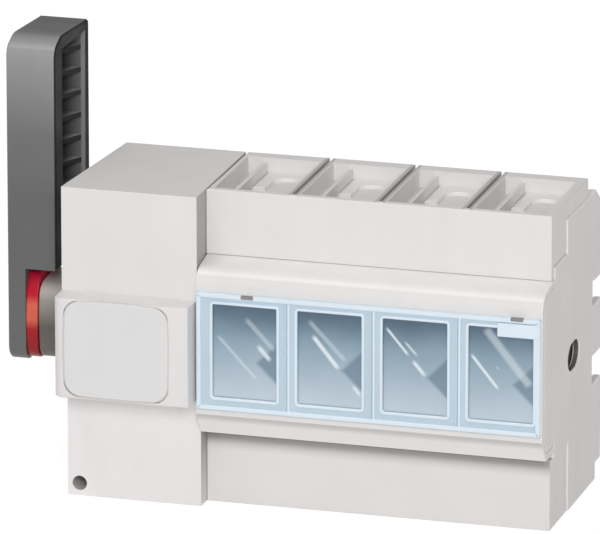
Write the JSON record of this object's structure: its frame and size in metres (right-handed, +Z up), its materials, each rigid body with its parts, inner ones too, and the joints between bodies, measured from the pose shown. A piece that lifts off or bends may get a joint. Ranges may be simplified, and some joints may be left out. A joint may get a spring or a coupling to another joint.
{
  "type": "switch disconnector",
  "caption": "Rail-mounted switch disconnector with a side lever that turns a shaft through the poles, a clear window cover over the contacts and cable entries top and bottom.",
  "frame": {"origin": "on the bottom face, below the shaft axis, at mid-width of the body without its lever", "axes": "+X to the right seen from the front, +Y to the rear towards the mounting rail, +Z up"},
  "size_m": [0.1832, 0.0824, 0.1434],
  "materials": {
    "housing_plastic": "fine matte",
    "plate_plastic": "fine matte",
    "lever_plastic": "satin",
    "red_plastic": "satin",
    "bushing_plastic": "satin",
    "clear_blue": "clear, tinted blue",
    "dark_insulator": "matte",
    "copper": "plain",
    "steel": "zinc plated"
  },
  "bodies": {
    "housing": {"mechanism_housing": "housing_plastic", "front_cover": "housing_plastic", "upper_terminal_shroud": "housing_plastic", "lower_terminal_shroud": "housing_plastic", "end_plate": "housing_plastic", "rear_base": "housing_plastic", "pole_frame": "housing_plastic", "blanking_plate": "plate_plastic", "side_bushing": "bushing_plastic", "window_cover": "clear_blue", "upper_contact_1": "copper", "upper_contact_2": "copper", "upper_contact_3": "copper", "upper_contact_4": "copper", "lower_contact_1": "copper", "lower_contact_2": "copper", "lower_contact_3": "copper", "lower_contact_4": "copper", "housing_screw": "steel", "toggle_pin": "steel", "clip_spring_left": "steel", "clip_spring_right": "steel", "terminal_screws": "steel", "upper_clamp_1": "steel", "upper_clamp_2": "steel", "upper_clamp_3": "steel", "upper_clamp_4": "steel", "lower_clamp_1": "steel", "lower_clamp_2": "steel", "lower_clamp_3": "steel", "lower_clamp_4": "steel", "arc_chute_1": "steel", "arc_chute_2": "steel", "arc_chute_3": "steel", "arc_chute_4": "steel"},
    "operating_shaft": {"lever_handle": "lever_plastic", "indicator_disc": "red_plastic", "drive_shaft": "steel", "lever_screw": "steel", "crank": "steel", "rotor_1": "dark_insulator", "rotor_2": "dark_insulator", "rotor_3": "dark_insulator", "rotor_4": "dark_insulator", "moving_blade_1": "copper", "moving_blade_2": "copper", "moving_blade_3": "copper", "moving_blade_4": "copper"},
    "toggle_link": {"toggle_fork": "steel", "toggle_spring": "steel"},
    "clip_left": {"rail_clip_left": "steel"},
    "clip_right": {"rail_clip_right": "steel"}
  },
  "joints": [
    {"name": "lever_turn", "type": "hinge", "parent": "housing", "child": "operating_shaft", "pos_m": [0, 0, 0.05], "axis": [1, 0, 0], "range_deg": [0, 90]},
    {"name": "toggle_swing", "type": "hinge", "parent": "housing", "child": "toggle_link", "pos_m": [-0.0626, -0.03, 0.05], "axis": [1, 0, 0], "range_deg": [-34.5, 0]},
    {"name": "clip_slide_left", "type": "slide", "parent": "housing", "child": "clip_left", "axis": [0, 0, -1], "range_m": [0, 0.004], "stiffness_N_per_m": 500, "springref_m": -0.002, "deforming": ["clip_spring_left"]},
    {"name": "clip_slide_right", "type": "slide", "parent": "housing", "child": "clip_right", "axis": [0, 0, -1], "range_m": [0, 0.004], "stiffness_N_per_m": 500, "springref_m": -0.002, "deforming": ["clip_spring_right"]}
  ],
  "couplings": [
    {"joint": "toggle_swing", "follows": "lever_turn", "ratio": -0.381}
  ]
}
